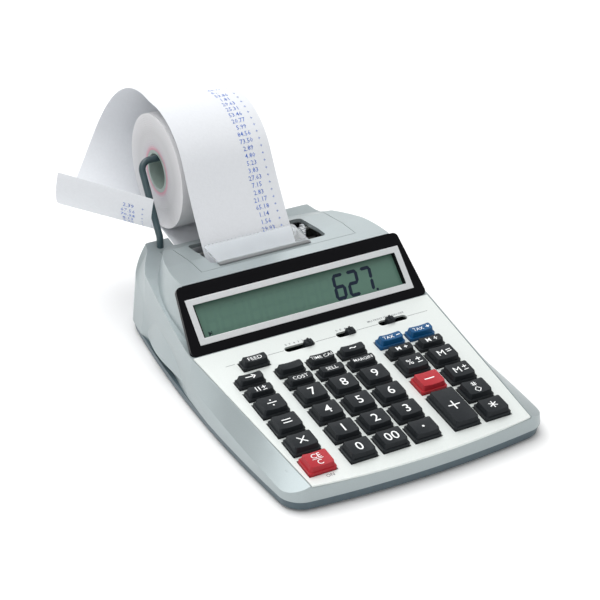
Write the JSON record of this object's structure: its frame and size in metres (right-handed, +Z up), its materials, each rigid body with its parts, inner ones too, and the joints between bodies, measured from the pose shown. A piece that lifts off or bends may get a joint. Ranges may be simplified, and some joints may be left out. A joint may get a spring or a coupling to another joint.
{
  "type": "desk calculator",
  "caption": "Desk printing calculator: wedge case with tilted keys, black display hood, paper roll on a wire arm and a loop of printed tape.",
  "frame": {"origin": "On the desk plane, under the middle of the four rubber feet.", "axes": "+X to the user's right, +Y from the keys to the paper roll, +Z up."},
  "size_m": [0.1761, 0.2998, 0.13],
  "materials": {
    "case_silver": "metallic silver paint over moulded plastic, fine satin",
    "deck_silver": "bright fine-brushed silver sheet",
    "base_slate": "dark slate moulded plastic, fine grain",
    "foot_rubber": "black rubber",
    "steel": "zinc-plated steel",
    "bezel_black": "gloss black",
    "lcd_glass": "grey-green reflective liquid crystal glass",
    "clear_plastic": "clear plastic, slightly smoked",
    "arm_paint": "black coated steel wire",
    "paper_white": "matt white bond paper",
    "core_plastic": "grey-green moulded core",
    "wheel_plastic": "pale metallised type wheel",
    "ink_foam": "ink-soaked foam",
    "membrane_rubber": "grey silicone rubber",
    "board_green": "green glass-fibre board",
    "inlet_black": "black nylon",
    "key_charcoal": "charcoal ABS, satin top",
    "key_red": "red ABS, satin top",
    "key_blue": "blue ABS, satin top"
  },
  "bodies": {
    "case": {"top_cover": "case_silver", "key_plate": "deck_silver", "base_cover": "base_slate", "rubber_feet": "foot_rubber", "case_screws": "steel", "display_bezel": "bezel_black", "lcd_panel": "lcd_glass", "paper_arm": "arm_paint", "paper_tape": "paper_white", "printer_frame": "steel", "printer_motor": "steel", "key_membrane": "membrane_rubber", "main_board": "board_green", "power_inlet": "inlet_black"},
    "printer_lid": {"printer_cover": "case_silver", "tear_bar": "clear_plastic"},
    "roll": {"paper_roll": "paper_white", "roll_core": "core_plastic"},
    "print_wheel": {"print_wheel": "wheel_plastic"},
    "feed_roller": {"feed_roller": "foot_rubber"},
    "ink_roller": {"ink_roller": "ink_foam"},
    "key_feed": {"key_feed": "key_charcoal"},
    "key_right_arrow": {"key_right_arrow": "key_charcoal"},
    "key_blank": {"key_blank": "key_charcoal"},
    "key_time_calc": {"key_time_calc": "key_charcoal"},
    "key_rate": {"key_rate": "key_charcoal"},
    "key_tax_minus": {"key_tax_minus": "key_blue"},
    "key_tax_plus": {"key_tax_plus": "key_blue"},
    "key_sign": {"key_sign": "key_charcoal"},
    "key_cost": {"key_cost": "key_charcoal"},
    "key_sell": {"key_sell": "key_charcoal"},
    "key_margin": {"key_margin": "key_charcoal"},
    "key_memory_add": {"key_memory_add": "key_charcoal"},
    "key_memory_divide": {"key_memory_divide": "key_charcoal"},
    "key_divide": {"key_divide": "key_charcoal"},
    "key_7": {"key_7": "key_charcoal"},
    "key_8": {"key_8": "key_charcoal"},
    "key_9": {"key_9": "key_charcoal"},
    "key_percent": {"key_percent": "key_charcoal"},
    "key_memory_total": {"key_memory_total": "key_charcoal"},
    "key_equals": {"key_equals": "key_charcoal"},
    "key_4": {"key_4": "key_charcoal"},
    "key_5": {"key_5": "key_charcoal"},
    "key_6": {"key_6": "key_charcoal"},
    "key_minus": {"key_minus": "key_red"},
    "key_memory_change": {"key_memory_change": "key_charcoal"},
    "key_multiply": {"key_multiply": "key_charcoal"},
    "key_1": {"key_1": "key_charcoal"},
    "key_2": {"key_2": "key_charcoal"},
    "key_3": {"key_3": "key_charcoal"},
    "key_item_count": {"key_item_count": "key_charcoal"},
    "key_clear": {"key_clear": "key_red"},
    "key_0": {"key_0": "key_charcoal"},
    "key_00": {"key_00": "key_charcoal"},
    "key_point": {"key_point": "key_charcoal"},
    "key_total": {"key_total": "key_charcoal"},
    "key_plus": {"key_plus": "key_charcoal"},
    "switch_knob_rounding": {"switch_knob_rounding": "key_charcoal"},
    "switch_knob_decimal": {"switch_knob_decimal": "key_charcoal"},
    "switch_knob_print": {"switch_knob_print": "key_charcoal"}
  },
  "joints": [
    {"name": "key_feed_press", "type": "slide", "parent": "case", "child": "key_feed", "axis": [0, 0.145, -0.9894], "range_m": [0, 0.0025], "stiffness_N_per_m": 200},
    {"name": "key_right_arrow_press", "type": "slide", "parent": "case", "child": "key_right_arrow", "axis": [0, 0.145, -0.9894], "range_m": [0, 0.0025], "stiffness_N_per_m": 200},
    {"name": "key_blank_press", "type": "slide", "parent": "case", "child": "key_blank", "axis": [0, 0.145, -0.9894], "range_m": [0, 0.0025], "stiffness_N_per_m": 200},
    {"name": "key_time_calc_press", "type": "slide", "parent": "case", "child": "key_time_calc", "axis": [0, 0.145, -0.9894], "range_m": [0, 0.0025], "stiffness_N_per_m": 200},
    {"name": "key_rate_press", "type": "slide", "parent": "case", "child": "key_rate", "axis": [0, 0.145, -0.9894], "range_m": [0, 0.0025], "stiffness_N_per_m": 200},
    {"name": "key_tax_minus_press", "type": "slide", "parent": "case", "child": "key_tax_minus", "axis": [0, 0.145, -0.9894], "range_m": [0, 0.0025], "stiffness_N_per_m": 200},
    {"name": "key_tax_plus_press", "type": "slide", "parent": "case", "child": "key_tax_plus", "axis": [0, 0.145, -0.9894], "range_m": [0, 0.0025], "stiffness_N_per_m": 200},
    {"name": "key_sign_press", "type": "slide", "parent": "case", "child": "key_sign", "axis": [0, 0.145, -0.9894], "range_m": [0, 0.0025], "stiffness_N_per_m": 200},
    {"name": "key_cost_press", "type": "slide", "parent": "case", "child": "key_cost", "axis": [0, 0.145, -0.9894], "range_m": [0, 0.0025], "stiffness_N_per_m": 200},
    {"name": "key_sell_press", "type": "slide", "parent": "case", "child": "key_sell", "axis": [0, 0.145, -0.9894], "range_m": [0, 0.0025], "stiffness_N_per_m": 200},
    {"name": "key_margin_press", "type": "slide", "parent": "case", "child": "key_margin", "axis": [0, 0.145, -0.9894], "range_m": [0, 0.0025], "stiffness_N_per_m": 200},
    {"name": "key_memory_add_press", "type": "slide", "parent": "case", "child": "key_memory_add", "axis": [0, 0.145, -0.9894], "range_m": [0, 0.0025], "stiffness_N_per_m": 200},
    {"name": "key_memory_divide_press", "type": "slide", "parent": "case", "child": "key_memory_divide", "axis": [0, 0.145, -0.9894], "range_m": [0, 0.0025], "stiffness_N_per_m": 200},
    {"name": "key_divide_press", "type": "slide", "parent": "case", "child": "key_divide", "axis": [0, 0.145, -0.9894], "range_m": [0, 0.0025], "stiffness_N_per_m": 200},
    {"name": "key_7_press", "type": "slide", "parent": "case", "child": "key_7", "axis": [0, 0.145, -0.9894], "range_m": [0, 0.0025], "stiffness_N_per_m": 200},
    {"name": "key_8_press", "type": "slide", "parent": "case", "child": "key_8", "axis": [0, 0.145, -0.9894], "range_m": [0, 0.0025], "stiffness_N_per_m": 200},
    {"name": "key_9_press", "type": "slide", "parent": "case", "child": "key_9", "axis": [0, 0.145, -0.9894], "range_m": [0, 0.0025], "stiffness_N_per_m": 200},
    {"name": "key_percent_press", "type": "slide", "parent": "case", "child": "key_percent", "axis": [0, 0.145, -0.9894], "range_m": [0, 0.0025], "stiffness_N_per_m": 200},
    {"name": "key_memory_total_press", "type": "slide", "parent": "case", "child": "key_memory_total", "axis": [0, 0.145, -0.9894], "range_m": [0, 0.0025], "stiffness_N_per_m": 200},
    {"name": "key_equals_press", "type": "slide", "parent": "case", "child": "key_equals", "axis": [0, 0.145, -0.9894], "range_m": [0, 0.0025], "stiffness_N_per_m": 200},
    {"name": "key_4_press", "type": "slide", "parent": "case", "child": "key_4", "axis": [0, 0.145, -0.9894], "range_m": [0, 0.0025], "stiffness_N_per_m": 200},
    {"name": "key_5_press", "type": "slide", "parent": "case", "child": "key_5", "axis": [0, 0.145, -0.9894], "range_m": [0, 0.0025], "stiffness_N_per_m": 200},
    {"name": "key_6_press", "type": "slide", "parent": "case", "child": "key_6", "axis": [0, 0.145, -0.9894], "range_m": [0, 0.0025], "stiffness_N_per_m": 200},
    {"name": "key_minus_press", "type": "slide", "parent": "case", "child": "key_minus", "axis": [0, 0.145, -0.9894], "range_m": [0, 0.0025], "stiffness_N_per_m": 200},
    {"name": "key_memory_change_press", "type": "slide", "parent": "case", "child": "key_memory_change", "axis": [0, 0.145, -0.9894], "range_m": [0, 0.0025], "stiffness_N_per_m": 200},
    {"name": "key_multiply_press", "type": "slide", "parent": "case", "child": "key_multiply", "axis": [0, 0.145, -0.9894], "range_m": [0, 0.0025], "stiffness_N_per_m": 200},
    {"name": "key_1_press", "type": "slide", "parent": "case", "child": "key_1", "axis": [0, 0.145, -0.9894], "range_m": [0, 0.0025], "stiffness_N_per_m": 200},
    {"name": "key_2_press", "type": "slide", "parent": "case", "child": "key_2", "axis": [0, 0.145, -0.9894], "range_m": [0, 0.0025], "stiffness_N_per_m": 200},
    {"name": "key_3_press", "type": "slide", "parent": "case", "child": "key_3", "axis": [0, 0.145, -0.9894], "range_m": [0, 0.0025], "stiffness_N_per_m": 200},
    {"name": "key_item_count_press", "type": "slide", "parent": "case", "child": "key_item_count", "axis": [0, 0.145, -0.9894], "range_m": [0, 0.0025], "stiffness_N_per_m": 200},
    {"name": "key_clear_press", "type": "slide", "parent": "case", "child": "key_clear", "axis": [0, 0.145, -0.9894], "range_m": [0, 0.0025], "stiffness_N_per_m": 200},
    {"name": "key_0_press", "type": "slide", "parent": "case", "child": "key_0", "axis": [0, 0.145, -0.9894], "range_m": [0, 0.0025], "stiffness_N_per_m": 200},
    {"name": "key_00_press", "type": "slide", "parent": "case", "child": "key_00", "axis": [0, 0.145, -0.9894], "range_m": [0, 0.0025], "stiffness_N_per_m": 200},
    {"name": "key_point_press", "type": "slide", "parent": "case", "child": "key_point", "axis": [0, 0.145, -0.9894], "range_m": [0, 0.0025], "stiffness_N_per_m": 200},
    {"name": "key_total_press", "type": "slide", "parent": "case", "child": "key_total", "axis": [0, 0.145, -0.9894], "range_m": [0, 0.0025], "stiffness_N_per_m": 200},
    {"name": "key_plus_press", "type": "slide", "parent": "case", "child": "key_plus", "axis": [0, 0.145, -0.9894], "range_m": [0, 0.0025], "stiffness_N_per_m": 200},
    {"name": "switch_knob_rounding_slide", "type": "slide", "parent": "case", "child": "switch_knob_rounding", "axis": [1, 0, 0], "range_m": [-0.0108, 0]},
    {"name": "switch_knob_decimal_slide", "type": "slide", "parent": "case", "child": "switch_knob_decimal", "axis": [1, 0, 0], "range_m": [-0.0048, 0]},
    {"name": "switch_knob_print_slide", "type": "slide", "parent": "case", "child": "switch_knob_print", "axis": [1, 0, 0], "range_m": [-0.0034, 0.0071]},
    {"name": "roll_spin", "type": "hinge", "parent": "case", "child": "roll", "pos_m": [-0.0081, 0.1284, 0.086], "axis": [1, 0, 0], "continuous": true},
    {"name": "feed_spin", "type": "hinge", "parent": "case", "child": "feed_roller", "pos_m": [-0.0081, 0.06855, 0.04611], "axis": [1, 0, 0], "continuous": true},
    {"name": "wheel_spin", "type": "hinge", "parent": "case", "child": "print_wheel", "pos_m": [-0.0081, 0.05545, 0.04611], "axis": [1, 0, 0], "continuous": true},
    {"name": "ink_spin", "type": "hinge", "parent": "case", "child": "ink_roller", "pos_m": [-0.0081, 0.04539, 0.04977], "axis": [1, 0, 0], "continuous": true},
    {"name": "lid_lift", "type": "slide", "parent": "case", "child": "printer_lid", "axis": [0, 0, 1], "range_m": [0, 0.01]}
  ]
}
